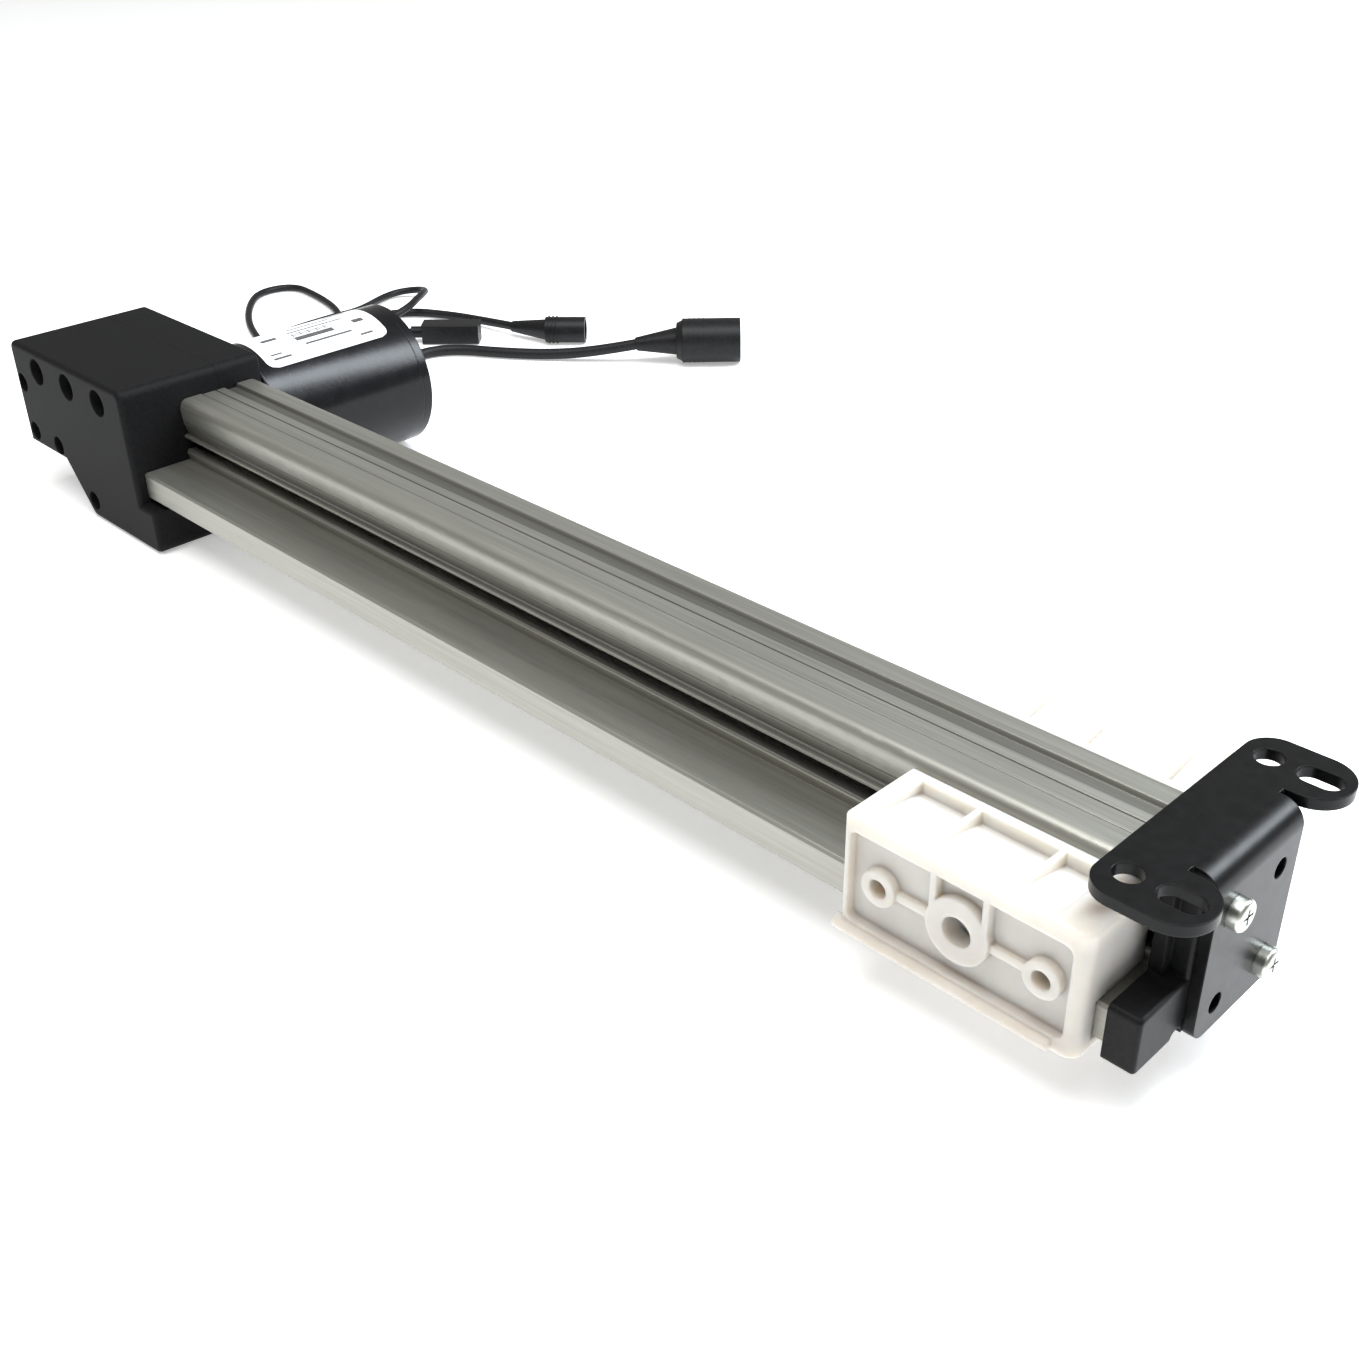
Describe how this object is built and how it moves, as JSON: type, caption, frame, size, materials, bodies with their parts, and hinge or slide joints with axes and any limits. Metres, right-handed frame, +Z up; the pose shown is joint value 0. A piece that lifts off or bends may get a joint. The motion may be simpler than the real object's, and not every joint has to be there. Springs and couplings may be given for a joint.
{
  "type": "linear actuator",
  "caption": "Screw-driven linear actuator: a worm gear motor turns a spindle that slides a nylon carriage along an extruded rail.",
  "frame": {"origin": "on the floor under the rail's centre line, at the gearbox's front face", "axes": "+X along the rail away from the gearbox, +Y towards the motor, +Z up"},
  "size_m": [0.6759, 0.3154, 0.062],
  "materials": {
    "rail_aluminium": "satin, drawn",
    "housing_plastic": "fine texture, black",
    "screw_steel": "zinc plated",
    "bearing_steel": "ground",
    "bush_bronze": "sintered",
    "motor_paint": "gloss black",
    "magnet_ferrite": "matte ferrite",
    "board": "satin laminate",
    "carbon": "matte carbon",
    "copper": "turned copper",
    "core_steel": "laminated steel",
    "shaft_steel": "ground",
    "gear_plastic": "moulded",
    "nut_plastic": "moulded",
    "slider_nylon": "translucent white nylon",
    "cap_plastic": "semi-matte black",
    "bracket_steel": "satin black coating",
    "switch_plastic": "moulded black",
    "cable_sheath": "soft black sheath",
    "plug_plastic": "moulded black"
  },
  "bodies": {
    "frame": {"rail": "rail_aluminium", "housing_near_shell": "housing_plastic", "housing_far_shell": "housing_plastic", "housing_screws": "screw_steel", "bracket_screws": "screw_steel", "motor_screws": "screw_steel", "front_bearing": "bearing_steel", "rear_bearing": "bearing_steel", "worm_bush": "bush_bronze", "motor_bush": "bush_bronze", "spindle_end_bush": "bush_bronze", "motor_can": "motor_paint", "motor_end_cap": "motor_paint", "motor_magnets": "magnet_ferrite", "brush_plate": "board", "limit_switch_board": "board", "terminal_board": "board", "brushes": "carbon", "end_cap": "cap_plastic", "end_bracket": "bracket_steel", "limit_switches": "switch_plastic", "cable_boots": "cable_sheath", "link_cable": "cable_sheath", "handset_cable": "cable_sheath", "supply_cable": "cable_sheath", "inline_plug": "plug_plastic", "handset_socket": "plug_plastic", "supply_plug": "plug_plastic"},
    "armature": {"worm_shaft": "shaft_steel", "armature_core": "core_steel", "commutator": "copper"},
    "spindle": {"spindle": "shaft_steel", "worm_wheel": "gear_plastic", "wheel_pin": "shaft_steel"},
    "slider": {"slider": "slider_nylon", "spindle_nut": "nut_plastic", "nut_pins": "shaft_steel"}
  },
  "joints": [
    {"name": "armature_spin", "type": "hinge", "parent": "frame", "child": "armature", "pos_m": [-0.0205, 0, 0.0295], "axis": [0, 1, 0], "range_deg": [-720000, 0]},
    {"name": "spindle_spin", "type": "hinge", "parent": "frame", "child": "spindle", "pos_m": [0, 0, 0.0435], "axis": [1, 0, 0], "range_deg": [0, 36000]},
    {"name": "slider_slide", "type": "slide", "parent": "frame", "child": "slider", "axis": [1, 0, 0], "range_m": [-0.3, 0]}
  ],
  "couplings": [
    {"joint": "spindle_spin", "follows": "armature_spin", "ratio": -0.05},
    {"joint": "slider_slide", "follows": "armature_spin", "m_per_rad": 0.000023873}
  ]
}
